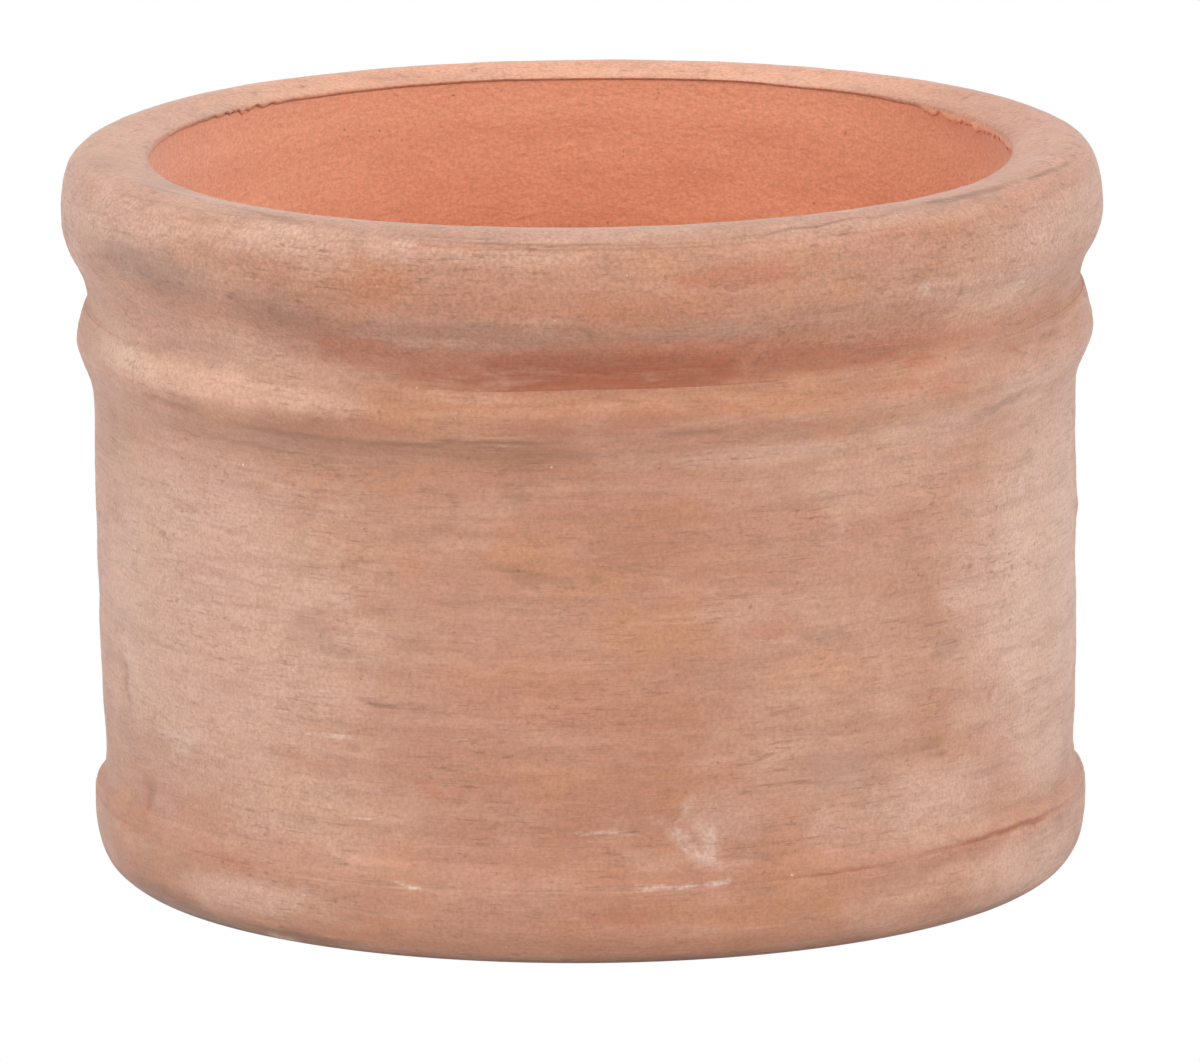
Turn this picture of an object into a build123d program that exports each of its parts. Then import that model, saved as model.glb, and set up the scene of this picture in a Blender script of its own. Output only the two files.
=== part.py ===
from build123d import *

import os

# A thick-walled, straight-sided terracotta pot with a rolled rim, a bead under it and a low foot.
# The potter makes five clay members and lutes them together: a floor slab, a thrown wall, a foot
# ring that wraps both, a bead band let into the wall, and a rolled rim that caps the wall's top.
# Every member is a ring or disc about +Z, and each meets its neighbours face to face in a rebate.
# Millimetres. The origin is the middle of the underside, on the ground, and +Z is up.

# Driving dimensions
RIM_RADIUS = 124.6         # the widest stretch of the rolled rim
MOUTH_RADIUS = 103.2       # inside the lip
INNER_RADIUS = 105.0       # inside the wall, under the lip
FLOOR_THICKNESS = 14.0
DRAIN_RADIUS = 11.0
DRAIN_ROUND = 1.5

# Foot
CONTACT_RADIUS = 106.3     # the pot stands on the flat inside this radius
FOOT_TURN = (115.0, 3.7)   # radius and height where the underside turns up into the side
FOOT_SIDE_RADIUS = 118.4
FOOT_SIDE_Z = 12.2
FOOT_RADIUS = 118.75
FOOT_FULL_Z = 16.0         # the foot has its full radius from here up
FOOT_TOP_Z = 20.3          # the seam between the foot and the wall
FOOT_SEAT_RADIUS = 112.0   # the wall's foot is turned down to this inside the ring
TOE_RADIUS = 104.0         # the ring's toe closes round the floor slab here
TOE_TOP_Z = 9.0            # the wall's foot stands on the toe

# Wall
WALL_FOOT_RADIUS = 118.6   # the wall spreads in a small shoulder to meet the foot
WALL_LOW_RADIUS = 116.4
WALL_LOW_Z = 25.6
WALL_MID_RADIUS = 117.25
WALL_MID_Z = 75.0
COVE_RADIUS = 8.0          # the coil pressed into the inner corner

# Bead
BEAD_LOW_Z = 116.5
BEAD_LOW_RADIUS = 117.7
BEAD_Z = 131.0
BEAD_RADIUS = 121.5
BEAD_SEAT_RADIUS = 114.0   # the seat turned in the wall for the band

# Rim
SEAM_Z = 139.4             # the seam between the bead and the rim, just under the groove
SEAM_RADIUS = 119.4
GROOVE_Z = 142.6
GROOVE_RADIUS = 118.8
RIM_Z = 162.0
LEDGE_Z = 172.2            # the lip overhangs the wall's inner face from here up
TONGUE_RADIUS = 111.5      # the wall's top is turned down to this inside the rim
LIP_SHOULDER_RADIUS = 122.9
LIP_SHOULDER_Z = 174.5
CREST_RADIUS = 114.0
CREST_Z = 177.0            # where the top's two slopes would meet before they are rounded
LIP_EDGE_Z = 174.3         # the lip's inner edge is lower than its crest
LIP_OUTER_ROUND = 6.0
LIP_CREST_ROUND = 16.0
LIP_INNER_ROUND = 1.0

# Where the arcs of each ogee meet, as a share of its height
BEAD_LOW_SHARE = 0.6
OGEE_SHARE = 0.5


def ogee(start, end, share=OGEE_SHARE):
    """Draw two arcs that are upright at both ends and meet on the line between them."""
    meet = Vector(*start) + (Vector(*end) - Vector(*start)) * share
    lower = TangentArc(start, meet, tangent=(0, 1))
    TangentArc(meet, end, tangent=lower % 1)


def corner_at(radius, height):
    """Find the corner of the open sketch that is nearest to a point of the outline."""
    return vertices().sort_by_distance((radius, height))[0]


def finish(member, name):
    """Name a finished member and write its STEP file."""
    member.part.label = name
    export_step(member.part, f"parts/{name}.step")


os.makedirs("parts", exist_ok=True)

# The floor slab: a thick disc that the wall and the toe of the foot ring close in, with the
# drain hole through its middle. Both mouths of the hole are eased.
with BuildPart() as floor_slab:
    with BuildSketch():
        Circle(TOE_RADIUS)
        Circle(DRAIN_RADIUS, mode=Mode.SUBTRACT)
    extrude(amount=FLOOR_THICKNESS)
    hole_edges = floor_slab.edges().filter_by(GeomType.CIRCLE).sort_by(SortBy.RADIUS)[:2]
    fillet(hole_edges, radius=DRAIN_ROUND)
finish(floor_slab, "floor_slab")

# The foot ring: an L in section. Its toe wraps the slab's edge and carries the wall, and its
# upright flange wraps the wall's foot. The underside rolls up into the side.
with BuildPart() as foot_ring:
    with BuildSketch(Plane.XZ):
        with BuildLine():
            Line((TOE_RADIUS, 0), (CONTACT_RADIUS, 0))
            under = TangentArc((CONTACT_RADIUS, 0), FOOT_TURN, tangent=(1, 0))
            TangentArc(FOOT_TURN, (FOOT_SIDE_RADIUS, FOOT_SIDE_Z), tangent=under % 1)
            Polyline((FOOT_SIDE_RADIUS, FOOT_SIDE_Z), (FOOT_RADIUS, FOOT_FULL_Z),
                     (FOOT_RADIUS, FOOT_TOP_Z), (FOOT_SEAT_RADIUS, FOOT_TOP_Z),
                     (FOOT_SEAT_RADIUS, TOE_TOP_Z), (TOE_RADIUS, TOE_TOP_Z), (TOE_RADIUS, 0))
        make_face()
    revolve(axis=Axis.Z)
finish(foot_ring, "foot_ring")

# The wall: the thrown cylinder. Its foot steps over the slab and into the foot ring, a cove runs
# round its inner corner, a seat is turned for the bead, and its top is a tongue for the rim.
with BuildPart() as wall:
    with BuildSketch(Plane.XZ):
        with BuildLine():
            Polyline((INNER_RADIUS - COVE_RADIUS, FLOOR_THICKNESS), (TOE_RADIUS, FLOOR_THICKNESS),
                     (TOE_RADIUS, TOE_TOP_Z), (FOOT_SEAT_RADIUS, TOE_TOP_Z),
                     (FOOT_SEAT_RADIUS, FOOT_TOP_Z), (WALL_FOOT_RADIUS, FOOT_TOP_Z))
            ogee((WALL_FOOT_RADIUS, FOOT_TOP_Z), (WALL_LOW_RADIUS, WALL_LOW_Z))
            ThreePointArc((WALL_LOW_RADIUS, WALL_LOW_Z), (WALL_MID_RADIUS, WALL_MID_Z),
                          (BEAD_LOW_RADIUS, BEAD_LOW_Z))
            Polyline((BEAD_LOW_RADIUS, BEAD_LOW_Z), (BEAD_SEAT_RADIUS, BEAD_LOW_Z),
                     (BEAD_SEAT_RADIUS, SEAM_Z), (TONGUE_RADIUS, SEAM_Z),
                     (TONGUE_RADIUS, LEDGE_Z), (INNER_RADIUS, LEDGE_Z),
                     (INNER_RADIUS, FLOOR_THICKNESS + COVE_RADIUS))
            TangentArc((INNER_RADIUS, FLOOR_THICKNESS + COVE_RADIUS),
                       (INNER_RADIUS - COVE_RADIUS, FLOOR_THICKNESS), tangent=(0, -1))
        make_face()
    revolve(axis=Axis.Z)
finish(wall, "wall")

# The bead band: a cordon let into its seat in the wall, swelling to the bead and falling to the
# seam under the rim.
with BuildPart() as bead_band:
    with BuildSketch(Plane.XZ):
        with BuildLine():
            ogee((BEAD_LOW_RADIUS, BEAD_LOW_Z), (BEAD_RADIUS, BEAD_Z), BEAD_LOW_SHARE)
            TangentArc((BEAD_RADIUS, BEAD_Z), (SEAM_RADIUS, SEAM_Z), tangent=(0, 1))
            Polyline((SEAM_RADIUS, SEAM_Z), (BEAD_SEAT_RADIUS, SEAM_Z),
                     (BEAD_SEAT_RADIUS, BEAD_LOW_Z), (BEAD_LOW_RADIUS, BEAD_LOW_Z))
        make_face()
    revolve(axis=Axis.Z)
finish(bead_band, "bead_band")

# The rolled rim: a cap over the wall's tongue with a heavy skirt outside it, which draws in to the
# groove and spreads on to the bead. The top falls gently both ways from its crest, and the lip
# stands a little inside the wall's inner face.
with BuildPart() as rim_roll:
    with BuildSketch(Plane.XZ):
        with BuildLine():
            TangentArc((GROOVE_RADIUS, GROOVE_Z), (SEAM_RADIUS, SEAM_Z), tangent=(0, -1))
            ogee((GROOVE_RADIUS, GROOVE_Z), (RIM_RADIUS, RIM_Z))
            Polyline((RIM_RADIUS, RIM_Z), (LIP_SHOULDER_RADIUS, LIP_SHOULDER_Z),
                     (CREST_RADIUS, CREST_Z), (MOUTH_RADIUS, LIP_EDGE_Z),
                     (MOUTH_RADIUS, LEDGE_Z), (TONGUE_RADIUS, LEDGE_Z),
                     (TONGUE_RADIUS, SEAM_Z), (SEAM_RADIUS, SEAM_Z))
        make_face()
        fillet(corner_at(LIP_SHOULDER_RADIUS, LIP_SHOULDER_Z), LIP_OUTER_ROUND)
        fillet(corner_at(CREST_RADIUS, CREST_Z), LIP_CREST_ROUND)
        fillet(corner_at(MOUTH_RADIUS, LIP_EDGE_Z), LIP_INNER_ROUND)
    revolve(axis=Axis.Z)
finish(rim_roll, "rim_roll")
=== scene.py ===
import math

import bpy
import numpy as np
from mathutils import Matrix, Vector


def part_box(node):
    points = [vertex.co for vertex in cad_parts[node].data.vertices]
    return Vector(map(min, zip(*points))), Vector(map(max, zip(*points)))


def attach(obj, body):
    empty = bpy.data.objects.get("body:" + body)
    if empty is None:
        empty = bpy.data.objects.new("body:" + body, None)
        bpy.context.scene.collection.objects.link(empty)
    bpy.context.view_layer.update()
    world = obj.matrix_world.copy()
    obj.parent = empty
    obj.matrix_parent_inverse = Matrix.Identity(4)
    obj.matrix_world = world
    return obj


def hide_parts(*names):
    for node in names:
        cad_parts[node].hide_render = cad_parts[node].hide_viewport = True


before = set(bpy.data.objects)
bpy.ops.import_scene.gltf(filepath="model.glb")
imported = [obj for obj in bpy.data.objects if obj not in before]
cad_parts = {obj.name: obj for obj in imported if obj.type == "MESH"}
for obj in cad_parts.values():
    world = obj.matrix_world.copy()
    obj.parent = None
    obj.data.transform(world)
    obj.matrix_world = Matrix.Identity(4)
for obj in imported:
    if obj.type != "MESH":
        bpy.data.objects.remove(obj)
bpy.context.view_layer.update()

# The look of a hand-made terracotta pot. Each of its five clay members is a closed ring turned
# from an outline, bent by one shared shape function so that the members still meet at their seams,
# and covered by a node material. Angles are measured round the pot from its front, -Y, towards
# +X, in degrees. The pot's lengths are in millimetres until its meshes are written, and the
# studio's are in metres.

MM = 0.001


def corner(node, side):
    """The lowest (0) or highest (1) corner of a CAD node, in millimetres."""
    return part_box(node)[side] / MM


# Heights and radii that the frame gives
HEIGHT = corner("rim_roll", 1).z
RIM_R = corner("rim_roll", 1).x
SEAM_Z = corner("rim_roll", 0).z
BEAD_R = corner("bead_band", 1).x
BEAD_LOW_Z = corner("bead_band", 0).z
LEDGE_Z = corner("wall", 1).z
TOE_TOP_Z = corner("wall", 0).z
FOOT_R = corner("foot_ring", 1).x
FOOT_TOP_Z = corner("foot_ring", 1).z
SLAB_R = corner("floor_slab", 1).x
FLOOR_Z = corner("floor_slab", 1).z

# Radii inside the clay and of the hand-made faces
INNER_R = 105.0
MOUTH_R = 103.2
TONGUE_R = 111.5
FOOT_SEAT_R = 112.0
BEAD_SEAT_R = 114.0
BEAD_LOW_R = 117.7      # where the bead begins to swell
SEAM_R = 119.4          # at the seam between bead and rim
RIM_SEAM_R = 119.3      # the rim is a hair smaller there, so that the seam shows
FOOT_SEAM_R = 118.5     # at the seam between foot and wall
NECK_R = 103.6          # the wall closes in a little just under the lip
LEDGE_R = 104.0         # where the lip's underside begins
LIP_R = 122.4           # where the rim's side ends and its top begins
WALL_R = 117.3
CONTACT_R = 106.3       # the pot stands on the flat inside this
DRAIN_R = 11.0
DRAIN_EASE = 1.5
COVE = 8.0
LIP_FOOT_Z = 170.0      # the lip's own shape and its marks begin here

# Spacing of the points along a face
FINE = 0.5              # where it shows turning lines
COVE_STEP = 1.0
SOLE_STEP = 1.2
FLOOR_STEP = 1.6
COARSE = 2.2
LEDGE_STEP = 2.5
HIDDEN = 6.0            # inside the clay

SHARP_EDGE = math.radians(50)

# How deep the unevenness of the hand-made faces is
LINE_DEPTH = 0.07       # turning lines
PULL_DEPTH = 0.14       # the softer rise and fall left by the fingers
KNOCK_DEPTH = 0.2       # broad dents
PIT_DEPTH = 0.05
RING_DEPTH = 0.22       # rings left inside
INNER_DENT_DEPTH = 0.15
OVAL_DEPTH = 0.3
LIP_WAVE = 0.06


# ---------------------------------------------------------------- outlines

def curve(*points, step=FINE):
    """Points about every step along a smooth curve, of cubic spans, through the given ones."""
    p = np.array(points, float)
    t = np.concatenate([[0], np.cumsum(np.linalg.norm(np.diff(p, axis=0), axis=1))])
    slope = np.gradient(p, t, axis=0)
    at = np.linspace(0, t[-1], max(1, round(t[-1] / step)) + 1)
    i = np.clip(np.searchsorted(t, at, side="right") - 1, 0, len(t) - 2)
    h = (t[i + 1] - t[i])[:, None]
    u = (at - t[i])[:, None] / h
    return ((2 * u**3 - 3 * u**2 + 1) * p[i] + (u**3 - 2 * u**2 + u) * h * slope[i]
            + (3 * u**2 - 2 * u**3) * p[i + 1] + (u**3 - u**2) * h * slope[i + 1])


def outline(*runs):
    """Join runs that follow each other into one closed outline without repeated points."""
    return np.concatenate([run[:-1] for run in runs])


def foot_outline():
    """The foot ring: up its side, then back round its seat for the wall and its toe."""
    side = curve((CONTACT_R, 0), (111.4, 1.3), (115.4, 4.4), (117.6, 8.4), (118.5, 13),
                 (FOOT_R, 17), (FOOT_R, 19.5), (118.7, 20.1), (FOOT_SEAM_R, FOOT_TOP_Z))
    seat = curve((FOOT_SEAM_R, FOOT_TOP_Z), (FOOT_SEAT_R, FOOT_TOP_Z), step=HIDDEN)
    bore = curve((FOOT_SEAT_R, FOOT_TOP_Z), (FOOT_SEAT_R, TOE_TOP_Z), step=HIDDEN)
    toe_top = curve((FOOT_SEAT_R, TOE_TOP_Z), (SLAB_R, TOE_TOP_Z), step=HIDDEN)
    toe = curve((SLAB_R, TOE_TOP_Z), (SLAB_R, 0), step=HIDDEN)
    under = curve((SLAB_R, 0), (CONTACT_R, 0), step=SOLE_STEP)
    return outline(side, seat, bore, toe_top, toe, under)


def wall_outline():
    """The wall: up its side, round the bead's seat and the tongue, and down its inside."""
    side = curve((FOOT_SEAM_R, FOOT_TOP_Z), (118.55, 20.7), (118.5, 21.3), (118.1, 22.6),
                 (117.2, 24.1), (116.6, 25.2), (116.4, 26.6), (116.5, 41), (117.05, 61),
                 (117.4, 85), (117.5, 105), (BEAD_LOW_R, BEAD_LOW_Z))
    bead_floor = curve((BEAD_LOW_R, BEAD_LOW_Z), (BEAD_SEAT_R, BEAD_LOW_Z), step=HIDDEN)
    bead_seat = curve((BEAD_SEAT_R, BEAD_LOW_Z), (BEAD_SEAT_R, SEAM_Z), step=HIDDEN)
    shoulder = curve((BEAD_SEAT_R, SEAM_Z), (TONGUE_R, SEAM_Z), step=HIDDEN)
    tongue = curve((TONGUE_R, SEAM_Z), (TONGUE_R, LEDGE_Z), step=HIDDEN)
    top = curve((TONGUE_R, LEDGE_Z), (NECK_R, LEDGE_Z), step=LEDGE_STEP)
    inside = curve((NECK_R, LEDGE_Z), (104.2, 169), (104.8, 163), (INNER_R, 150),
                   (INNER_R, FLOOR_Z + COVE), step=COARSE)
    # the middle of the cove's arc is this far from both faces
    bend = COVE * (1 - math.sqrt(0.5))
    cove = curve((INNER_R, FLOOR_Z + COVE), (INNER_R - 0.6, FLOOR_Z + COVE * 0.62),
                 (INNER_R - bend, FLOOR_Z + bend), (INNER_R - COVE * 0.62, FLOOR_Z + 0.6),
                 (INNER_R - COVE, FLOOR_Z), step=COVE_STEP)
    sole = curve((INNER_R - COVE, FLOOR_Z), (SLAB_R, FLOOR_Z), step=HIDDEN)
    lap = curve((SLAB_R, FLOOR_Z), (SLAB_R, TOE_TOP_Z), step=HIDDEN)
    foot = curve((SLAB_R, TOE_TOP_Z), (FOOT_SEAT_R, TOE_TOP_Z), step=HIDDEN)
    foot_side = curve((FOOT_SEAT_R, TOE_TOP_Z), (FOOT_SEAT_R, FOOT_TOP_Z), step=HIDDEN)
    seam = curve((FOOT_SEAT_R, FOOT_TOP_Z), (FOOT_SEAM_R, FOOT_TOP_Z), step=HIDDEN)
    return outline(side, bead_floor, bead_seat, shoulder, tongue, top, inside, cove, sole, lap,
                   foot, foot_side, seam)


def bead_outline():
    """The bead band: up over the bead to the seam, then back round its seat in the wall."""
    face = curve((BEAD_LOW_R, BEAD_LOW_Z), (117.85, 119.5), (118.7, 123), (120.3, 127),
                 (BEAD_R, 130.8), (121.3, 133.4), (120.6, 136), (119.9, 138.2), (119.6, 139),
                 (SEAM_R, SEAM_Z))
    top = curve((SEAM_R, SEAM_Z), (BEAD_SEAT_R, SEAM_Z), step=HIDDEN)
    seat = curve((BEAD_SEAT_R, SEAM_Z), (BEAD_SEAT_R, BEAD_LOW_Z), step=HIDDEN)
    bottom = curve((BEAD_SEAT_R, BEAD_LOW_Z), (BEAD_LOW_R, BEAD_LOW_Z), step=HIDDEN)
    return outline(face, top, seat, bottom)


def rim_outline():
    """The rim: up its side, over the top and round the lip, then back along the wall's tongue."""
    skirt = curve((RIM_SEAM_R, SEAM_Z), (118.8, 140.7), (118.75, 142.6), (119.2, 145.4),
                  (120.6, 149.4), (122.8, 153.6), (124.2, 157.8), (RIM_R, 162), (124.35, 166),
                  (123.6, 169.6), (LIP_R, 172.5), (120.5, 174.5), (117.6, 175.9), (114, HEIGHT),
                  (110.5, 175.9), (107, 175.1), (104.5, 174.4), (103.5, 173.9), (MOUTH_R, 173.2),
                  (MOUTH_R, 172.7), (103.4, 172.3), (LEDGE_R, LEDGE_Z))
    ledge = curve((LEDGE_R, LEDGE_Z), (TONGUE_R, LEDGE_Z), step=LEDGE_STEP)
    groove = curve((TONGUE_R, LEDGE_Z), (TONGUE_R, SEAM_Z), step=HIDDEN)
    seat = curve((TONGUE_R, SEAM_Z), (RIM_SEAM_R, SEAM_Z), step=HIDDEN)
    return outline(skirt, ledge, groove, seat)


def slab_outline():
    """The floor slab: along its underside, back over its top, and down the drain hole."""
    eased_r = DRAIN_R + DRAIN_EASE
    lower = curve((eased_r, 0), (SLAB_R, 0), step=COARSE)
    edge = curve((SLAB_R, 0), (SLAB_R, FLOOR_Z), step=HIDDEN)
    upper = curve((SLAB_R, FLOOR_Z), (eased_r, FLOOR_Z), step=FLOOR_STEP)
    hole = curve((eased_r, FLOOR_Z), (DRAIN_R + 0.4, FLOOR_Z - 0.4), (DRAIN_R, FLOOR_Z - DRAIN_EASE),
                 (DRAIN_R, FLOOR_Z / 2), (DRAIN_R, DRAIN_EASE), (DRAIN_R + 0.4, 0.4), (eased_r, 0))
    return outline(lower, edge, upper, hole)


# ---------------------------------------------------------------- the hand-made shape

def ripple(x, y, z, wave, seed, count=28):
    """Smooth seeded noise from -1 to 1 with features about a wave long. wave is one length, or
    one for each axis."""
    rng = np.random.default_rng(seed)
    way = rng.normal(size=(count, 3))
    way /= np.linalg.norm(way, axis=1)[:, None]
    way *= rng.uniform(0.6, 1.4, size=(count, 1)) * 2 * math.pi / np.broadcast_to(wave, 3)
    shift = rng.uniform(0, 2 * math.pi, count)
    total = sum(np.cos(k[0] * x + k[1] * y + k[2] * z + s) for k, s in zip(way, shift))
    return total / math.sqrt(count / 2) / 2


def bump_at(angle, z, at, height, wide, tall):
    """A soft round-topped mask, wide by tall millimetres, centred at an angle and a height."""
    across = (np.degrees(angle) - at + 180) % 360 - 180
    u = np.radians(across) * WALL_R / wide
    v = (z - height) / tall
    return np.exp(-2 * (u**2 + v**2))


# Dents and lumps on the outside: angle, height, half width, half height, depth outwards
LUMPS = (
    (-41, 1.6, 6, 2.2, -0.8),     # a chip in the edge of the foot
    (41.5, 158, 5, 3.0, -0.5),    # finger dents on the rim, right
    (57, 153, 6, 3.0, -0.6),
    (46, 156, 3, 2.5, 0.3),
    (62, 151.5, 3, 2.5, 0.3),
    (66, 138, 5, 1.6, -0.35),
    (-70, 56, 3, 7, -0.35),
    (86, 89, 5, 4, 0.5),
    (62, 20.6, 62, 1.3, -0.5),   # a softer, wider seam above the foot on the right
    (-30, 150, 26, 5, -0.35),
    (20, 147, 30, 4, -0.3),
    (-62, 128, 20, 4, 0.3),
    (140, 60, 20, 16, -0.4),
    (-150, 95, 25, 20, -0.35),
    (175, 160, 22, 6, 0.35),
)

# Angles, and how far the two seams and the lip's top wander up the pot at each
WANDER_AT = (-180, -135, -90, -64, -50, -30, -12, 0, 20, 35, 50, 64, 78, 90, 135, 180)
BEAD_SEAM = (0, 0, 0.2, 0.1, 0.4, -0.3, -0.7, -0.1, -0.6, -0.1, 0.3, 1.0, 1.5, 1.6, 0.8, 0)
FOOT_SEAM = (0.4, 0.2, 1.4, 0.2, -0.4, -1.0, -0.6, -0.5, -0.2, 0.3, 1.2, 1.6, 1.6, 1.5, 0.8, 0.4)
LIP_RISE = (-0.1, 0.4, 0.2, 0.0, 0.1, 0.2, 0.1, 0.0, 0.1, 0.1, 0.0, -0.1, 0.1, 0.3, 0.2, -0.1)
WANDER_REACH = 3.0      # the clay follows a seam within about this height

# At some heights, how far the clay climbs towards the right, and how far it stands to the right
UPHILL = ((0, 0), (22, 0), (100, 0.2), (131, 0.9), (142, 1.3), (150, 1.1), (162, 0.5), (HEIGHT, 0.35))
LEAN = ((0, 0), (22, 0), (70, -0.5), (131, -0.6), (162, -1.1), (HEIGHT, -1.3))


def wander(table, angle):
    """A seam's or the lip's rise at each angle."""
    return np.interp(np.degrees(angle), WANDER_AT, table)


def ledge_droop(angle):
    """How far the lip's inner lower edge draws up or, where negative, hangs down at each angle:
    higher at the back, wavy at a crack on the left, and with a flap hanging on the right."""
    turn = np.degrees(angle)
    x, y = np.sin(angle) * INNER_R, np.cos(angle) * INNER_R
    fine = ripple(x, y, 0, 3.0, seed=11)
    crack = np.exp(-((turn + 128) / 7.0) ** 2)
    flap = np.clip((turn - 88) / 8, 0, 1) * np.clip((128 - turn) / 4, 0, 1)
    back = 0.65 * (1 - np.cos(angle))
    wave = 0.2 * ripple(x, y, 0, 30, seed=12)
    return back + wave + 0.9 * crack * fine - flap * (1.5 + 0.8 * fine)


def shaped(angle, r, z):
    """Where a point of the turned pot goes on the hand-made one."""
    side, front = np.sin(angle), np.cos(angle)
    x, y = r * side, -r * front
    outer = np.clip((r - 114.5) / 2, 0, 1)
    inner = np.clip((INNER_R + 1.5 - r) / 1.2, 0, 1) * (z > FLOOR_Z - 3)
    # turning lines and the softer rise and fall left by the fingers
    climb = z + 0.6 * side + 0.4 * np.cos(2 * angle)
    lines = LINE_DEPTH * ripple(x * 0.02, y * 0.02, climb, 1.5, seed=1)
    lines *= 0.5 + 0.5 * ripple(x, y, z, 40, seed=2)
    pulls = PULL_DEPTH * ripple(x * 0.1, y * 0.1, z + 1.5 * front, 15, seed=3)
    knocks = KNOCK_DEPTH * ripple(x, y, z, (46, 46, 30), seed=4)
    knocks = knocks + PIT_DEPTH * ripple(x, y, z, 9, seed=5)
    grow = outer * (lines + pulls + knocks)
    for at, height, wide, tall, depth in LUMPS:
        grow = grow + outer * depth * bump_at(angle, z, at, height, wide, tall)
    rings = RING_DEPTH * ripple(x * 0.05, y * 0.05, z + 2 * side, 13, seed=6)
    rings = rings + INNER_DENT_DEPTH * ripple(x, y, z, 22, seed=7)
    grow = grow + inner * np.clip((LEDGE_Z - z) / 8, 0, 1) * rings
    oval = OVAL_DEPTH * np.cos(2 * angle - 0.7) * np.clip(z / HEIGHT, 0, 1)
    r = r + grow + oval * (r > 60)
    # the lip's top isn't quite level, its inner edge is ragged, and the seams wander
    lip = np.clip((z - LIP_FOOT_Z) / 5, 0, 1)
    rise = lip * (wander(LIP_RISE, angle) + LIP_WAVE * ripple(x, y, z, 12, seed=9))
    near_ledge = np.clip((INNER_R + 2 - r) / 2, 0, 1) * np.exp(-((z - LEDGE_Z) / 1.6) ** 2)
    rise = rise + near_ledge * ledge_droop(angle)
    for seam_z, table in ((SEAM_Z, BEAD_SEAM), (FOOT_TOP_Z, FOOT_SEAM)):
        rise = rise + outer * wander(table, angle) * np.exp(-((z - seam_z) / WANDER_REACH) ** 2)
    # the bead and the groove run uphill to the right, and the pot leans a little to the left
    uphill = np.interp(z, *zip(*UPHILL)) * np.clip((r - 100) / 10, 0, 1)
    lean = np.interp(z, *zip(*LEAN))
    return np.stack([r * side + lean, -r * front, z + rise + uphill * side], axis=-1)


# ---------------------------------------------------------------- stains, painted shade and highlights

def colour(code):
    """A linear colour from a six-digit web colour."""
    parts = (int(code[i:i + 2], 16) / 255 for i in (0, 2, 4))
    return tuple(p / 12.92 if p <= 0.04045 else ((p + 0.055) / 1.055) ** 2.4 for p in parts) + (1,)


# Each kind of mark, how solid it is at the least, and its colour. The soot, ash, umber and rust kinds
# also serve for painted shade, peach for a painted highlight, and beige in part for painted light.
INKS = {
    "beige_and_light": (0.7, colour("d2ae9b")),
    "rust_and_shade": (0.6, colour("b46a4e")),
    "tan": (0.6, colour("bf8765")),
    "umber_and_shade": (0.8, colour("9b5942")),
    "peach_and_highlight": (0.7, colour("deb297")),
    "ash_and_shade": (0.5, colour("96776a")),
    "soot_and_shade": (0.45, colour("7d5d49")),
    "bloom": (0.45, colour("dcc0b2")),
}


class Mark:
    """A stain, bloom, painted shade, painted light or painted highlight on the outside: its middle,
    half width and half height in millimetres, strength, tilt in degrees, how much of it is full
    strength, and the one piece it is on. Over the rim's top the height goes on growing towards the
    mouth, from 174 to 192."""

    def __init__(self, kind, angle, height, wide, tall, strength=1.0, turn=0.0, core=0.2, piece=""):
        self.kind = kind
        self.angle = angle
        self.height = height
        self.wide = wide
        self.tall = tall
        self.strength = strength
        self.turn = math.radians(turn)
        self.core = core
        self.piece = piece

    def cover(self, turn, z):
        """How much of the mark there is at each angle in degrees and height."""
        across = np.radians((turn - self.angle + 180) % 360 - 180) * WALL_R
        up = z - self.height
        u = (across * math.cos(self.turn) + up * math.sin(self.turn)) / self.wide
        v = (up * math.cos(self.turn) - across * math.sin(self.turn)) / self.tall
        fade = np.clip((1 - np.hypot(u, v)) / (1 - self.core), 0, 1)
        return self.strength * fade * fade * (3 - 2 * fade)


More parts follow.
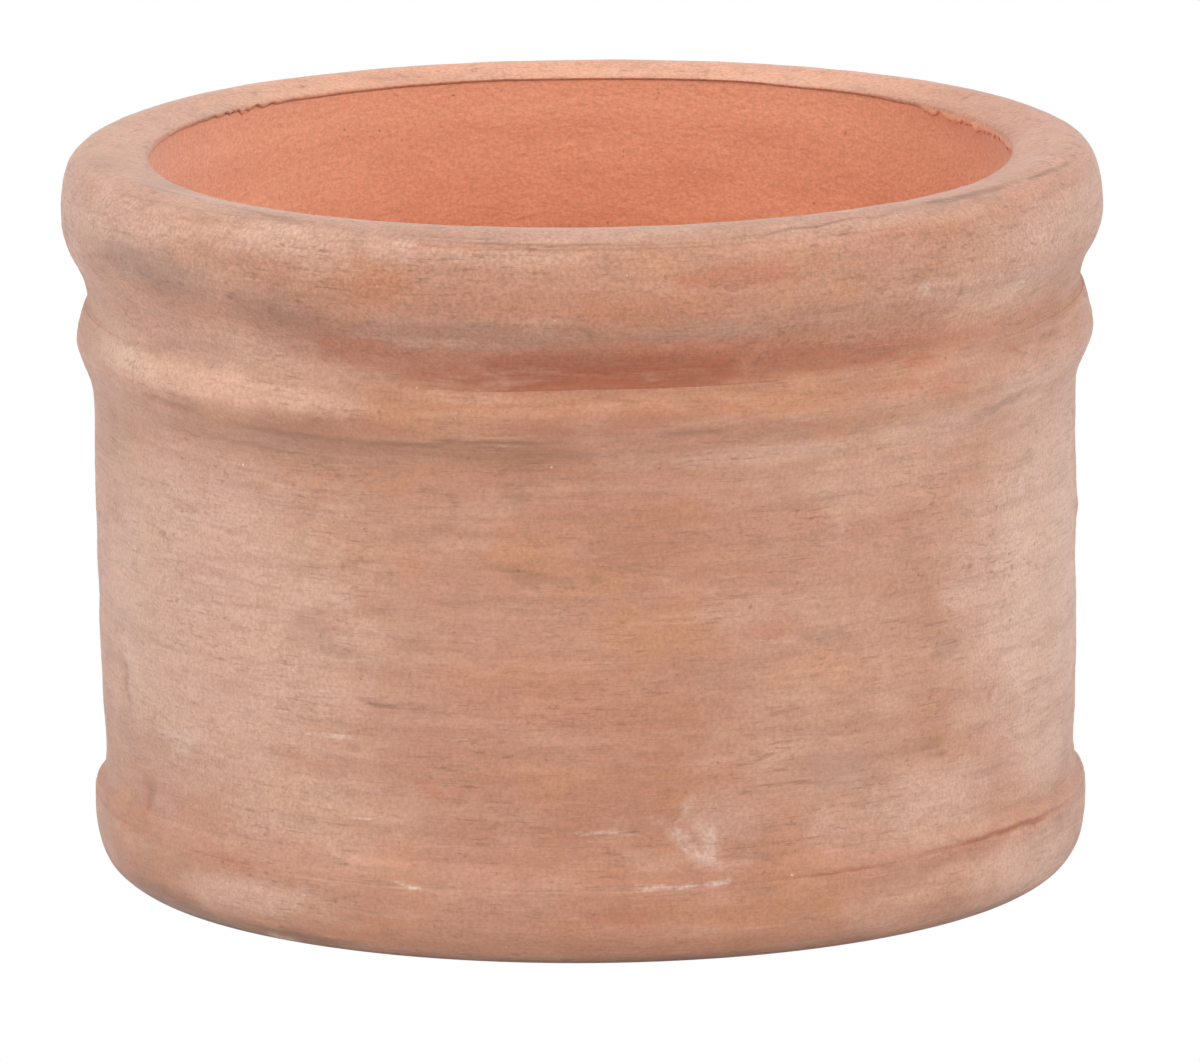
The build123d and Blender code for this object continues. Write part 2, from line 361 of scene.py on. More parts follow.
MARKS = (
    # broad zones of paler clay; the two largest, on the left and right sides, are partly painted light
    # partly paler clay, partly painted light on the left side
    Mark("beige_and_light", -52, 76, 78, 62, 0.74, core=0.4),
    Mark("beige_and_light", -52, 138, 70, 14, 0.5, core=0.4),
    Mark("beige_and_light", -60, 168, 60, 14, 0.5),
    Mark("beige_and_light", -34, 172, 34, 7, 0.6, core=0.3),
    # partly paler clay, partly painted light on the right side
    Mark("beige_and_light", 66, 78, 62, 70, 0.85, core=0.25),
    Mark("beige_and_light", 62, 128, 38, 12, 0.6),
    Mark("beige_and_light", 30, 66, 46, 50, 0.3, core=0.3),
    Mark("beige_and_light", 66, 105, 34, 24, 0.45),
    Mark("beige_and_light", 68, 38, 30, 18, 0.75),
    Mark("beige_and_light", 44, 122, 44, 8, 0.5),
    Mark("beige_and_light", -44, 112, 40, 10, 0.6),
    Mark("beige_and_light", -66, 136, 24, 8, 0.75),
    Mark("beige_and_light", 44, 34, 38, 16, 0.75),
    Mark("beige_and_light", -42, 12, 38, 8, 0.75),
    Mark("beige_and_light", 62, 12, 40, 12, 0.75, core=0.3),
    Mark("beige_and_light", -38, 36, 50, 20, 0.6),
    Mark("beige_and_light", 36, 10, 28, 8, 0.4),
    Mark("beige_and_light", 64, 165, 50, 11, 0.55),
    Mark("beige_and_light", 54, 156, 38, 9, 0.5),
    Mark("beige_and_light", 25, 122, 50, 4, 0.5),
    Mark("beige_and_light", 36, 114, 40, 12, 0.4),
    Mark("beige_and_light", -150, 80, 90, 60, 0.6, core=0.3),
    Mark("beige_and_light", 104, 62, 62, 56, 0.5, core=0.2),
    Mark("beige_and_light", 140, 105, 60, 40, 0.35, core=0.2),
    # chalky bloom
    Mark("bloom", 11, 38.5, 6, 5, 0.5),
    Mark("bloom", 13.5, 29.5, 11, 7, 0.85, turn=-25, core=0.3),
    Mark("bloom", 8, 26, 8, 4, 0.25),
    Mark("bloom", 15, 34, 15, 12, 0.25),
    Mark("bloom", 8.5, 20.2, 8, 0.8, 1.0),
    Mark("bloom", 14.8, 20.6, 5, 1.0, 1.0),
    Mark("bloom", -22, 19.8, 6, 0.6, 0.9),
    Mark("bloom", -31.5, 53.4, 8, 0.45, 1.0, turn=-1),
    Mark("bloom", -15, 55.3, 10, 0.35, 0.7, turn=3),
    Mark("bloom", -28.2, 34.1, 5, 0.4, 0.7),
    Mark("bloom", 1.5, 33, 12, 0.5, 0.6),
    Mark("bloom", 40.8, 157.8, 10, 4, 0.5, core=0),
    Mark("bloom", 56.5, 153.6, 14, 4, 0.5, turn=6, core=0),
    Mark("bloom", -63, 136.8, 8, 1.2, 0.8),
    Mark("bloom", -10, 171, 40, 2.6, 0.3, core=0),
    Mark("bloom", -20, 172, 10, 4, 0.4),
    Mark("bloom", -41, 1.8, 7, 1.6, 1.0),
    Mark("bloom", -56, 44.5, 7, 6, 0.5),
    Mark("bloom", -77, 155, 8, 6, 0.4),
    Mark("bloom", 28, 31, 10, 9, 0.3),
    Mark("bloom", 30, 104, 10, 10, 0.2, core=0),
    Mark("bloom", 48, 82, 10, 9, 0.18, core=0),
    Mark("bloom", 60, 92, 9, 20, 0.2, core=0),
    Mark("bloom", 61, 62, 11, 30, 0.25, turn=-6, core=0),
    Mark("bloom", 61, 99.6, 8, 9, 0.25),
    Mark("bloom", 160, 40, 18, 10, 0.5),
    Mark("bloom", -110, 30, 16, 8, 0.4),
    # smoke and dirt, with painted shade under the bead and round the foot's bottom edge
    Mark("ash_and_shade", -55, 160, 34, 8, 0.75, core=0.35, turn=-2),
    Mark("ash_and_shade", -36, 155, 26, 8, 0.55, core=0.2, turn=-12),
    Mark("rust_and_shade", -32, 152, 26, 8, 0.35, turn=-8),
    Mark("ash_and_shade", -34, 149, 16, 6, 0.4),
    Mark("ash_and_shade", -14, 152.5, 52, 6, 0.5, core=0.3),
    Mark("ash_and_shade", -64, 188, 20, 6, 0.6),
    Mark("ash_and_shade", -80, 181, 18, 5, 0.4),
    Mark("ash_and_shade", -36, 122, 62, 7, 0.36, core=0.3),
    Mark("ash_and_shade", 12, 153, 40, 4, 0.35),
    Mark("soot_and_shade", -37, 155, 14, 4, 0.3, core=0, turn=-16),
    Mark("soot_and_shade", -56, 161, 18, 5, 0.25, core=0),
    Mark("soot_and_shade", -3, 174.8, 46, 0.8, 0.7),
    Mark("soot_and_shade", 4, 173.1, 50, 0.7, 0.5),
    Mark("soot_and_shade", -16, 176.6, 26, 0.7, 0.45),
    Mark("soot_and_shade", 26, 178, 33, 0.9, 0.75, turn=6.8),
    Mark("soot_and_shade", 51, 182.3, 28, 2.6, 0.8, turn=0.8),
    Mark("soot_and_shade", 50, 182.6, 24, 1.2, 1.0, core=0.5),
    Mark("ash_and_shade", 46, 180, 40, 5, 0.35),
    Mark("soot_and_shade", 70, 181, 20, 1.6, 0.9, turn=-4),
    Mark("soot_and_shade", 30, 173.6, 26, 0.5, 0.5),
    Mark("soot_and_shade", 123, 190.3, 1.6, 0.9, 1.0),
    Mark("soot_and_shade", -40, 181, 22, 0.9, 0.65, turn=-7.5),
    Mark("soot_and_shade", -58, 183.2, 20, 1.0, 0.7, turn=3),
    Mark("soot_and_shade", -52, 177, 30, 0.8, 0.4, turn=2),
    Mark("soot_and_shade", -54, 127.6, 20, 1.4, 0.5, turn=-4),
    Mark("soot_and_shade", -36, 125.2, 30, 1.6, 0.5, turn=-2),
    Mark("soot_and_shade", -44, 121, 30, 1.2, 0.35),
    Mark("soot_and_shade", -20, 125.4, 26, 1.2, 0.75, turn=1),
    Mark("soot_and_shade", -9, 126.6, 26, 1.0, 0.75),
    Mark("soot_and_shade", 12, 128.4, 12, 1.4, 0.5),
    Mark("soot_and_shade", -8, 124, 30, 4, 0.4),
    Mark("soot_and_shade", 54.5, 125, 18, 2.0, 0.55, turn=9),
    # painted shade: a soft band under the dark streak on the bead's underside
    Mark("ash_and_shade", 50, 121.5, 16, 4, 0.2, turn=9),
    Mark("soot_and_shade", -8, 113, 7, 5, 0.45),
    Mark("soot_and_shade", -6.4, 95, 12, 2.4, 0.5, turn=-12),
    Mark("soot_and_shade", 0.4, 94.2, 5, 2.5, 0.5),
    Mark("soot_and_shade", -24, 62.4, 9, 0.7, 0.9, turn=-6),
    Mark("soot_and_shade", -9, 51.9, 3, 0.45, 1.0),
    Mark("soot_and_shade", 18.3, 41.4, 3, 0.4, 1.0),
    Mark("soot_and_shade", 29.5, 77, 12, 3, 0.35, turn=-12),
    Mark("soot_and_shade", -70, 54, 4, 9, 0.5, turn=20),
    Mark("soot_and_shade", -64, 29, 4, 8, 0.45),
    Mark("soot_and_shade", 53.4, 56, 1.5, 3, 0.6),
    Mark("soot_and_shade", 43.5, 44.3, 5, 2, 0.45),
    Mark("soot_and_shade", 46, 156.2, 2.4, 3.4, 0.6, turn=-20, core=0),
    Mark("soot_and_shade", 62, 150.6, 3, 3.4, 0.6, turn=-20, core=0),
    Mark("soot_and_shade", 66, 138.6, 6, 0.7, 0.8, turn=4),
    # painted shade round the foot's bottom edge, where the pot stands on the floor, here and in the
    # next four marks
    Mark("soot_and_shade", -46, 3, 46, 3.4, 0.85, core=0.4),
    Mark("soot_and_shade", -62, 5, 34, 5, 0.65, core=0.3),
    Mark("soot_and_shade", 10, 2.2, 90, 1.8, 0.5, core=0.3),
    Mark("soot_and_shade", 60, 3, 40, 2.2, 0.6, core=0.3),
    Mark("soot_and_shade", 180, 2.5, 160, 2.5, 0.4),
    Mark("ash_and_shade", 30, 44, 20, 9, 0.4),
    Mark("soot_and_shade", 24, 42.6, 16, 0.6, 0.8),
    Mark("soot_and_shade", 43, 47, 11, 2.5, 0.4),
    Mark("soot_and_shade", 46, 70, 9, 4, 0.35),
    Mark("soot_and_shade", 34.7, 120.2, 0.9, 0.8, 1.0),
    Mark("soot_and_shade", 50.8, 87.9, 1.2, 0.8, 1.0),
    Mark("soot_and_shade", -33, 78, 10, 9, 0.35),
    Mark("soot_and_shade", 37, 16.2, 10, 4, 0.2, core=0),
    Mark("soot_and_shade", 120, 120, 30, 5, 0.5),
    Mark("soot_and_shade", 170, 150, 40, 6, 0.5),
    Mark("soot_and_shade", -125, 145, 34, 6, 0.5),
    # redder clay, with painted shade in the groove under the rim and in the seam above the foot on the
    # right
    # the groove under the rim, darker at the front: partly redder clay, partly painted shade
    Mark("umber_and_shade", 2, 142.5, 62, 8, 1.0, core=0.35, piece="clay_rim"),
    Mark("umber_and_shade", 27, 143.2, 44, 5.5, 0.55, core=0.4, piece="clay_rim"),
    Mark("umber_and_shade", -24, 146, 32, 6, 0.5, core=0.3, piece="clay_rim"),
    Mark("umber_and_shade", 170, 143, 90, 6, 0.5, core=0.3, piece="clay_rim"),
    Mark("rust_and_shade", 12, 147, 54, 6, 0.6, core=0.3),
    Mark("rust_and_shade", -60, 146, 40, 5, 0.25),
    Mark("rust_and_shade", 49, 145.6, 36, 4.4, 0.45, core=0.3),
    Mark("rust_and_shade", 64, 144.8, 20, 3.8, 0.6),
    Mark("rust_and_shade", 40, 139.4, 10, 2.6, 0.65, turn=-8),
    Mark("rust_and_shade", 57.5, 137, 8, 2, 0.7, turn=-25),
    Mark("rust_and_shade", -65, 28, 7, 9, 0.45),
    Mark("rust_and_shade", -22, 163, 12, 6, 0.6),
    Mark("rust_and_shade", 17, 166, 26, 4.5, 0.6, core=0.3),
    Mark("rust_and_shade", 6, 159, 50, 7, 0.3),
    Mark("rust_and_shade", 40.5, 134.5, 16, 3.5, 0.45, turn=-14),
    Mark("rust_and_shade", -8.1, 105, 4, 1.2, 0.4),
    Mark("rust_and_shade", -5, 66, 28, 14, 0.3, core=0),
    Mark("rust_and_shade", 21.6, 80, 10, 3, 0.35),
    Mark("rust_and_shade", 50.4, 88, 3, 2, 0.4),
    Mark("rust_and_shade", 33.9, 66, 3, 2, 0.4),
    Mark("rust_and_shade", -17.7, 43.3, 3, 3, 0.4),
    Mark("rust_and_shade", 5.6, 36.9, 1.5, 2, 0.6, turn=40),
    Mark("rust_and_shade", 5, 13, 6, 4, 0.35),
    # painted shade in the step of the seam above the foot on the right, here and in the next two marks
    Mark("umber_and_shade", 60, 22.0, 42, 1.0, 0.75, core=0.3),
    Mark("rust_and_shade", 58, 22.2, 34, 1.6, 0.4),
    Mark("umber_and_shade", 31, 20.7, 24, 0.8, 0.5),
    Mark("rust_and_shade", -42, 19.9, 20, 0.6, 0.6),
    Mark("rust_and_shade", -70, 20.6, 20, 0.6, 0.6),
    # the groove at the sides and back: partly redder clay, partly painted shade
    Mark("rust_and_shade", 100, 143, 60, 5, 0.6),
    Mark("rust_and_shade", 175, 143.5, 70, 5, 0.6),
    Mark("rust_and_shade", -120, 142.5, 60, 4, 0.4),
    # light peach and tan clay, with a painted highlight along the bead's top on the left and painted
    # shade on its top at the front
    # painted highlight along the top of the bead, on the left, here and in the next mark
    Mark("peach_and_highlight", -50, 134.5, 62, 5, 0.6, core=0.3),
    Mark("peach_and_highlight", -14, 137, 24, 2.0, 0.35),
    Mark("peach_and_highlight", 54, 149, 34, 7, 0.4),
    Mark("peach_and_highlight", 46, 14, 40, 6, 0.4),
    Mark("tan", 6, 134.5, 66, 5.5, 0.45, core=0.4),
    # redder clay and painted shade: the front of the bead's top made duller where the light from above
    # falls on it, here and in the mark two lines below
    Mark("rust_and_shade", 4, 132.5, 38, 5.5, 0.75, core=0.3),
    Mark("bloom", -62, 134, 22, 4, 0.3, core=0),
    Mark("ash_and_shade", 4, 131, 46, 4, 0.45),
    Mark("tan", 45, 130, 30, 4, 0.3),
    Mark("tan", 28, 70, 20, 9, 0.4),
    Mark("tan", -8, 100, 12, 10, 0.35),
    Mark("tan", -24, 162, 18, 7, 0.5),
    Mark("tan", 20, 12, 60, 8, 0.4),
    Mark("tan", -30, 9, 30, 6, 0.4),
)


def stain_and_painted_light(mesh, points):
    """Write how much there is of each kind of mark at every point of a mesh."""
    x, y, z = points.T / MM
    unrolled = np.clip((z - LIP_FOOT_Z) / 2, 0, 1) * (LIP_R - np.hypot(x, y))
    # the edges of a mark are ragged
    ragged_turn = 2.2 * ripple(x, y, z, 9, seed=31) + 0.5 * ripple(x, y, z, 3, seed=32)
    ragged_z = 0.35 * ripple(x, y, z, 9, seed=33) + 0.2 * ripple(x, y, z, 3, seed=34)
    turn = np.degrees(np.arctan2(x, -y)) + ragged_turn
    z = z + unrolled + ragged_z
    for kind in INKS:
        cover = np.zeros(len(z))
        for mark in MARKS:
            if mark.kind == kind and mark.piece in ("", mesh.name):
                cover = np.maximum(cover, mark.cover(turn, z))
        mesh.attributes.new(kind, "FLOAT", "POINT").data.foreach_set("value", cover)


# ---------------------------------------------------------------- meshes

def ring(name, profile, columns):
    """A closed mesh turned from a closed outline and bent to the hand-made shape."""
    rows = len(profile)
    angle = np.linspace(-math.pi, math.pi, columns, endpoint=False)
    angle, r = np.meshgrid(angle, profile[:, 0])
    z = np.broadcast_to(profile[:, 1:], r.shape)
    points = shaped(angle, r, z).reshape(-1, 3) * MM
    i, j = np.meshgrid(np.arange(rows), np.arange(columns), indexing="ij")
    up, on = (i + 1) % rows, (j + 1) % columns
    quads = np.stack([i * columns + j, i * columns + on, up * columns + on, up * columns + j], -1)
    mesh = bpy.data.meshes.new(name)
    mesh.from_pydata(points, [], quads.reshape(-1, 4).tolist())
    stain_and_painted_light(mesh, points)
    mesh.shade_smooth()
    mesh.set_sharp_from_angle(angle=SHARP_EDGE)
    piece = bpy.data.objects.new(name, mesh)
    bpy.context.scene.collection.objects.link(piece)
    return piece


# ---------------------------------------------------------------- material nodes

class Wire:
    """A node's output that ordinary sums can be written with."""

    def __init__(self, graph, socket):
        self.graph = graph
        self.socket = socket

    def __add__(self, other):
        return self.graph.sum("ADD", self, other)

    def __sub__(self, other):
        return self.graph.sum("SUBTRACT", self, other)

    def __mul__(self, other):
        return self.graph.sum("MULTIPLY", self, other)

    def __rsub__(self, other):
        return self.graph.sum("SUBTRACT", other, self)


# Places of a colour mix node's sockets, whose names repeat
MIX_SHARE, MIX_FIRST, MIX_SECOND = 0, 6, 7
MIX_RESULT = 2


class Graph:
    """Builds one material's nodes. place, z, r and angle are those of the shaded point."""

    def __init__(self, name):
        self.material = bpy.data.materials.new(name)
        self.material.use_nodes = True
        self.nodes = self.material.node_tree.nodes
        self.links = self.material.node_tree.links
        self.shader = self.nodes["Principled BSDF"]
        coordinates = self.node("ShaderNodeTexCoord")
        self.place = self.vector("MULTIPLY", coordinates.outputs["Object"], (1 / MM,) * 3)
        apart = self.node("ShaderNodeSeparateXYZ", self.place)
        x, y, self.z = (Wire(self, s) for s in apart.outputs)
        self.angle = self.sum("ARCTAN2", x, y * -1)
        self.r = self.sum("SQRT", x * x + y * y)

    def node(self, kind, *inputs, **settings):
        made = self.nodes.new(kind)
        for key, value in settings.items():
            setattr(made, key, value)
        for socket, value in zip(made.inputs, inputs):
            self.feed(socket, value)
        return made

    def feed(self, socket, value):
        if isinstance(value, Wire):
            value = value.socket
        if isinstance(value, bpy.types.NodeSocket):
            self.links.new(value, socket)
        else:
            socket.default_value = value

    def sum(self, operation, *inputs):
        made = self.node("ShaderNodeMath", *inputs, operation=operation)
        return Wire(self, made.outputs[0])

    def vector(self, operation, *inputs):
        made = self.node("ShaderNodeVectorMath", *inputs, operation=operation)
        return Wire(self, made.outputs["Vector"])

    def noise(self, waves, detail=2.0, rough=0.5, seed=0):
        """Noise of about that wavelength: one length, or one for each axis."""
        waves = np.broadcast_to(waves, 3)
        scaled = self.vector("MULTIPLY", self.place, tuple(1 / waves))
        scaled = self.vector("ADD", scaled, (seed * 17.3, seed * 5.9, seed * 11.7))
        made = self.node("ShaderNodeTexNoise", scaled)
        made.inputs["Scale"].default_value = 1
        made.inputs["Detail"].default_value = detail
        made.inputs["Roughness"].default_value = rough
        return Wire(self, made.outputs[0])

    def between(self, value, low, high, start=0.0, end=1.0):
        """start up to low, end from high, and a smooth change between them."""
        made = self.node("ShaderNodeMapRange", value, low, high, start, end,
                         interpolation_type="SMOOTHSTEP")
        return Wire(self, made.outputs[0])

    def mix(self, share, first, second):
        """The first colour, with that share of the second over it."""
        made = self.node("ShaderNodeMix", data_type="RGBA")
        self.feed(made.inputs[MIX_SHARE], share)
        self.feed(made.inputs[MIX_FIRST], first)
        self.feed(made.inputs[MIX_SECOND], second)
        return Wire(self, made.outputs[MIX_RESULT])


# Colours of the clay itself and of what brushing, wear and flecks add to it, and of painted light and
# shade on the lip and the inside
TINT = {name: colour(code) for name, code in (
    ("clay", "b98871"), ("clay_red", "b27e66"), ("clay_tan", "bf875f"), ("clay_rosy", "b98478"),
    # the lip's back colour is painted light and its front colour painted shade
    ("lip_left", "c1957f"), ("lip_right", "bd8a74"), ("lip_front_painted_shade", "b6907e"), ("lip_back_painted_light", "dfa386"),
    ("worn", "d2ab96"), ("brushed", "9c745e"), ("pale_line", "e2c3b0"), ("dark_line", "7d5b48"),
    ("drag_pale", "cda189"), ("drag_dark", "a4745e"), ("smear", "94705c"),
    ("inside", "e19d7b"), ("inside_dark", "da9372"), ("inside_top", "f0ae8c"),
    # painted light for the inside's left and painted shade for its right
    ("inside_left_painted_light", "f1b698"), ("inside_right_painted_shade", "d89271"),
    ("pale_fleck", "ecd8ca"), ("dark_fleck", "8a6250"),
)}

# Matte, with a little dusty sheen
FINISH = {
    "Roughness": 0.92,
    "Specular IOR Level": 0.25,
    "Sheen Weight": 0.4,
    "Sheen Roughness": 0.4,
    "Sheen Tint": (1, 0.96, 0.94, 1),
}
BUMP_STRENGTH = 0.6
BUMP_DISTANCE = 0.6 * MM


class Terracotta(Graph):
    """The material of one clay member, with the marks that are written on its mesh."""

    def __init__(self, name):
        super().__init__(name)
        under_lip = self.between(self.z, LEDGE_Z + 1.9, LEDGE_Z + 0.5)
        above_foot = self.between(self.z, 6, 9)
        self.inside = self.between(self.r, INNER_R + 4.5, INNER_R + 3) * under_lip * above_foot
        self.on_rim = self.between(self.z, 140, 147) * (1 - self.inside)
        self.side = self.sum("SINE", self.angle)
        self.front = self.sum("COSINE", self.angle)

        self.patchy = self.noise((14, 14, 7), 4, 0.6, seed=1)
        self.brushed = self.noise((30, 30, 2.6), 3, 0.6, seed=2)
        self.grain = self.noise(0.9, 2, 0.6, seed=6)
        self.pale_lines = self.peaks(0.54, 0.7, (15, 15, 0.7), 3, 0.7, seed=3)
        self.dark_lines = self.peaks(0.55, 0.7, (7, 7, 0.6), 3, 0.7, seed=4)

        clay = self.marked(self.with_lip(self.body()))
        clay = self.weathered(clay)
        clay = self.mix(self.inside, clay, self.bare())
        clay = self.flecked(clay)
        self.feed(self.shader.inputs["Base Color"], self.grained(clay))
        for socket, value in FINISH.items():
            self.shader.inputs[socket].default_value = value
        self.feed(self.shader.inputs["Normal"], self.relief())

    def peaks(self, low, high, waves, detail, rough=0.5, seed=0):
        """A mask that rises where noise goes from low to high."""
        return self.between(self.noise(waves, detail, rough, seed), low, high)

    def body(self):
        """Clay that drifts between paler, redder, tan and rosy."""
        red = self.peaks(0.35, 0.65, (50, 50, 34), 2)
        tan = self.peaks(0.48, 0.68, (26, 26, 14), 4, 0.6, seed=13)
        rosy = self.peaks(0.5, 0.7, (30, 30, 16), 4, 0.6, seed=14)
        clay = self.mix(red, TINT["clay"], TINT["clay_red"])
        clay = self.mix(tan * 0.4, clay, TINT["clay_tan"])
        return self.mix(rosy * 0.25, clay, TINT["clay_rosy"])

    def with_lip(self, clay):
        """The lip is paler clay, with painted light at the back and painted shade at the front."""
        lip = self.mix(self.between(self.side, 0.1, 0.8), TINT["lip_left"], TINT["lip_right"])
        lip = self.mix(self.between(self.front, 0.5, 0.95), lip, TINT["lip_front_painted_shade"])
        lip = self.mix(self.between(self.front, -0.45, -0.95), lip, TINT["lip_back_painted_light"])
        return self.mix(self.between(self.z, 172.5, 175) * 0.75, clay, lip)

    def marked(self, clay):
        """The marks, broken up by the clay's own texture."""
        texture = self.brushed * 0.4 + self.patchy * 0.35 + self.grain * 0.25
        broken = self.between(texture, 0.36, 0.6)
        for kind, (least, ink) in INKS.items():
            cover = Wire(self, self.node("ShaderNodeAttribute", attribute_name=kind).outputs["Fac"])
            clay = self.mix(cover * (broken * (1 - least) + least), clay, ink)
        return clay

    def weathered(self, clay):
        """Worn patches, brushing, turning lines, drags, smears and mottling."""
        where_pale = self.peaks(0.42, 0.62, (30, 30, 18), 2, seed=5)
        where_dark = self.peaks(0.44, 0.64, (24, 24, 15), 3, 0.6, seed=12)
        mottle = self.peaks(0.55, 0.72, (3.5, 3.5, 1.8), 3, 0.65, seed=11)
        smears = self.peaks(0.5, 0.7, (11, 11, 4.5), 4, 0.65, seed=15)
        drag = self.noise((45, 45, 4.5), 4, 0.6, seed=16)
        clay = self.mix(self.between(self.patchy, 0.5, 0.72) * 0.2, clay, TINT["worn"])
        clay = self.mix(self.between(self.brushed, 0.5, 0.74) * 0.3, clay, TINT["brushed"])
        clay = self.mix(self.pale_lines * (where_pale * 0.14 + 0.02), clay, TINT["pale_line"])
        clay = self.mix(self.dark_lines * (where_dark * 0.3 + 0.08), clay, TINT["dark_line"])
        clay = self.mix(self.between(drag, 0.5, 0.66) * 0.25, clay, TINT["drag_pale"])
        clay = self.mix(self.between(drag, 0.48, 0.34) * 0.25, clay, TINT["drag_dark"])
        clay = self.mix(smears * 0.22, clay, TINT["smear"])
        return self.mix(mottle * (where_dark * 0.3 + self.on_rim * 0.14 + 0.1), clay, TINT["dark_line"])

    def bare(self):
        """The unweathered inside, lighter towards the top, with painted light on the left and painted
        shade on the right.
        """
        clay = self.mix(self.between(self.patchy, 0.35, 0.7) * 0.7, TINT["inside"], TINT["inside_dark"])
        clay = self.mix(self.between(self.z, 150, 172) * 0.8, clay, TINT["inside_top"])
        clay = self.mix(self.between(self.side, -0.3, -0.95) * 0.6, clay, TINT["inside_left_painted_light"])
        return self.mix(self.between(self.side, 0.5, 0.95) * 0.5, clay, TINT["inside_right_painted_shade"])

    def flecked(self, clay):
        """Sparse grit, where noise peaks."""
        clay = self.mix(self.peaks(0.8, 0.84, 1.8, 1, seed=8) * 0.45, clay, TINT["pale_fleck"])
        return self.mix(self.peaks(0.75, 0.8, 2.0, 1, seed=9) * 0.5, clay, TINT["dark_fleck"])

    def grained(self, clay):
        """The colour made lighter and darker by the grain."""
        strength = self.on_rim * 0.05 + 0.1
        brightness = self.between(self.grain, 0.25, 0.75, -1, 1) * strength + 1
        made = self.node("ShaderNodeVectorMath", clay, operation="SCALE")
        self.feed(made.inputs["Scale"], brightness)
        return Wire(self, made.outputs["Vector"])

    def relief(self):
        """The normal, with grain all over, lines outside and pebbles mostly inside."""
        pebbles = self.noise((2.6, 2.6, 1.7), 2, 0.55, seed=10) * (self.inside * 0.7 + 0.15)
        lines = (self.brushed + self.pale_lines - self.dark_lines) * (self.inside * -0.2 + 0.2)
        bump = self.node("ShaderNodeBump")
        bump.inputs["Strength"].default_value = BUMP_STRENGTH
        bump.inputs["Distance"].default_value = BUMP_DISTANCE
        self.feed(bump.inputs["Height"], self.grain * 0.3 + lines + pebbles)
        return Wire(self, bump.outputs["Normal"])


# ---------------------------------------------------------------- pieces

# Piece, the CAD node that it stands for, its outline, and its number of points round the pot
PIECES = (
    ("clay_floor", "floor_slab", slab_outline, 300),
    ("clay_foot", "foot_ring", foot_outline, 640),
    ("clay_wall", "wall", wall_outline, 460),
    ("clay_bead", "bead_band", bead_outline, 640),
    ("clay_rim", "rim_roll", rim_outline, 760),
)
for piece_name, cad_node, profile_of, columns in PIECES:
    piece = ring(piece_name, profile_of(), columns)
    piece.data.materials.append(Terracotta("terracotta_" + cad_node).material)
    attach(piece, "root")
    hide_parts(cad_node)


# ---------------------------------------------------------------- floor, light and camera

POT_MIDDLE = Vector((0, 0, 89.5 * MM))
FLOOR_HALF = 6.0        # metres, wide enough to fill the view
FLOOR_BOUNCE = 0.85     # the floor looks white but throws less light up at the pot
SKY_STRENGTH = 0.62


def floor():
    """A plain pale floor."""
    corners = [(x * FLOOR_HALF, y * FLOOR_HALF, 0) for x, y in ((-1, -1), (1, -1), (1, 1), (-1, 1))]
    mesh = bpy.data.meshes.new("studio_floor")
    mesh.from_pydata(corners, [], [(0, 1, 2, 3)])
    plane = bpy.data.objects.new("studio_floor", mesh)
    bpy.context.scene.collection.objects.link(plane)
    material = bpy.data.materials.new("floor_white")
    material.use_nodes = True
    nodes, links = material.node_tree.nodes, material.node_tree.links
    nodes.remove(nodes["Principled BSDF"])
    seen = nodes.new("ShaderNodeEmission")
    bounce = nodes.new("ShaderNodeBsdfDiffuse")
    bounce.inputs["Color"].default_value = (FLOOR_BOUNCE, FLOOR_BOUNCE, FLOOR_BOUNCE, 1)
    path = nodes.new("ShaderNodeLightPath")
    mixed = nodes.new("ShaderNodeMixShader")
    links.new(path.outputs["Is Camera Ray"], mixed.inputs[0])
    links.new(bounce.outputs[0], mixed.inputs[1])
    links.new(seen.outputs[0], mixed.inputs[2])
    links.new(mixed.outputs[0], nodes["Material Output"].inputs["Surface"])
    mesh.materials.append(material)


def softbox(name, place, size, power):
    """An area light that looks at the pot. Its place and size are in metres."""
    light = bpy.data.lights.new(name, "AREA")
    light.shape = "RECTANGLE"
    light.size, light.size_y = size
    light.energy = power
    lamp = bpy.data.objects.new(name, light)
    lamp.location = place
    lamp.rotation_euler = (POT_MIDDLE - lamp.location).to_track_quat("-Z", "Y").to_euler()
    bpy.context.scene.collection.objects.link(lamp)


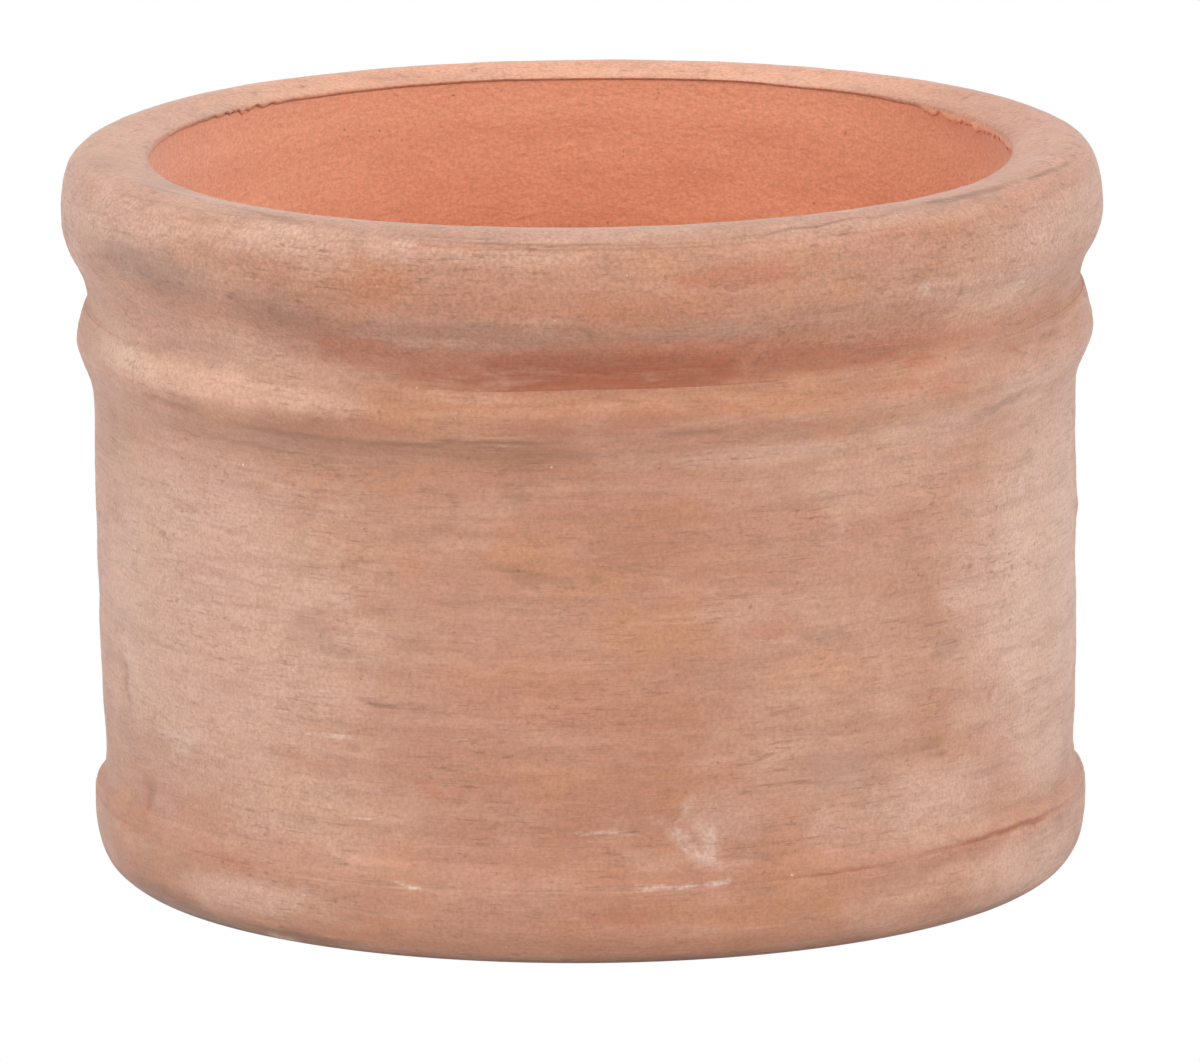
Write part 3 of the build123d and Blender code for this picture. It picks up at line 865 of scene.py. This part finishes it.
def sky():
    """An even sky, which the camera sees as white."""
    world = bpy.data.worlds.new("studio")
    world.use_nodes = True
    nodes, links = world.node_tree.nodes, world.node_tree.links
    nodes["Background"].inputs["Color"].default_value = (1, 1, 1, 1)
    path = nodes.new("ShaderNodeLightPath")
    seen = nodes.new("ShaderNodeMapRange")
    seen.inputs["To Min"].default_value = SKY_STRENGTH
    links.new(path.outputs["Is Camera Ray"], seen.inputs["Value"])
    links.new(seen.outputs["Result"], nodes["Background"].inputs["Strength"])
    bpy.context.scene.world = world


floor()
softbox("softbox_left", Vector((-1.75, -0.5, 1.3)), (1.6, 1.6), 10)
softbox("softbox_right", Vector((1.75, -0.5, 1.3)), (1.6, 1.6), 10)
softbox("softbox_front", Vector((0.1, -1.8, 1.9)), (2.0, 1.4), 20)
softbox("softbox_top", Vector((0, -0.4, 2.2)), (2.4, 2.4), 18)
sky()
bpy.context.scene.view_settings.view_transform = "Standard"

# The camera stands far off with a long lens, a little above the rim, and is rolled very slightly.
CAMERA_DISTANCE = 4.0
CAMERA_HEIGHT_ANGLE = math.radians(11.42)
CAMERA_ROLL = math.radians(0.45)
CAMERA_LENS = 501.0
CAMERA_SENSOR = 36.0
CAMERA_REACH = 30.0
AIM_RIGHT = 2.7 * MM
AIM_DOWN = 7.6 * MM

back = Vector((0, -math.cos(CAMERA_HEIGHT_ANGLE), math.sin(CAMERA_HEIGHT_ANGLE)))
right = Vector((1, 0, 0))
up = back.cross(right)
camera = bpy.data.objects.new("camera", bpy.data.cameras.new("camera"))
camera.data.lens = CAMERA_LENS
camera.data.sensor_width = CAMERA_SENSOR
camera.data.clip_end = CAMERA_REACH
roll = Matrix.Rotation(-CAMERA_ROLL, 4, "Z")
turned = Matrix((right, up, back)).transposed().to_4x4()
aim = POT_MIDDLE + right * AIM_RIGHT - up * AIM_DOWN
camera.matrix_world = Matrix.Translation(aim + back * CAMERA_DISTANCE) @ turned @ roll
bpy.context.scene.collection.objects.link(camera)
bpy.context.scene.camera = camera
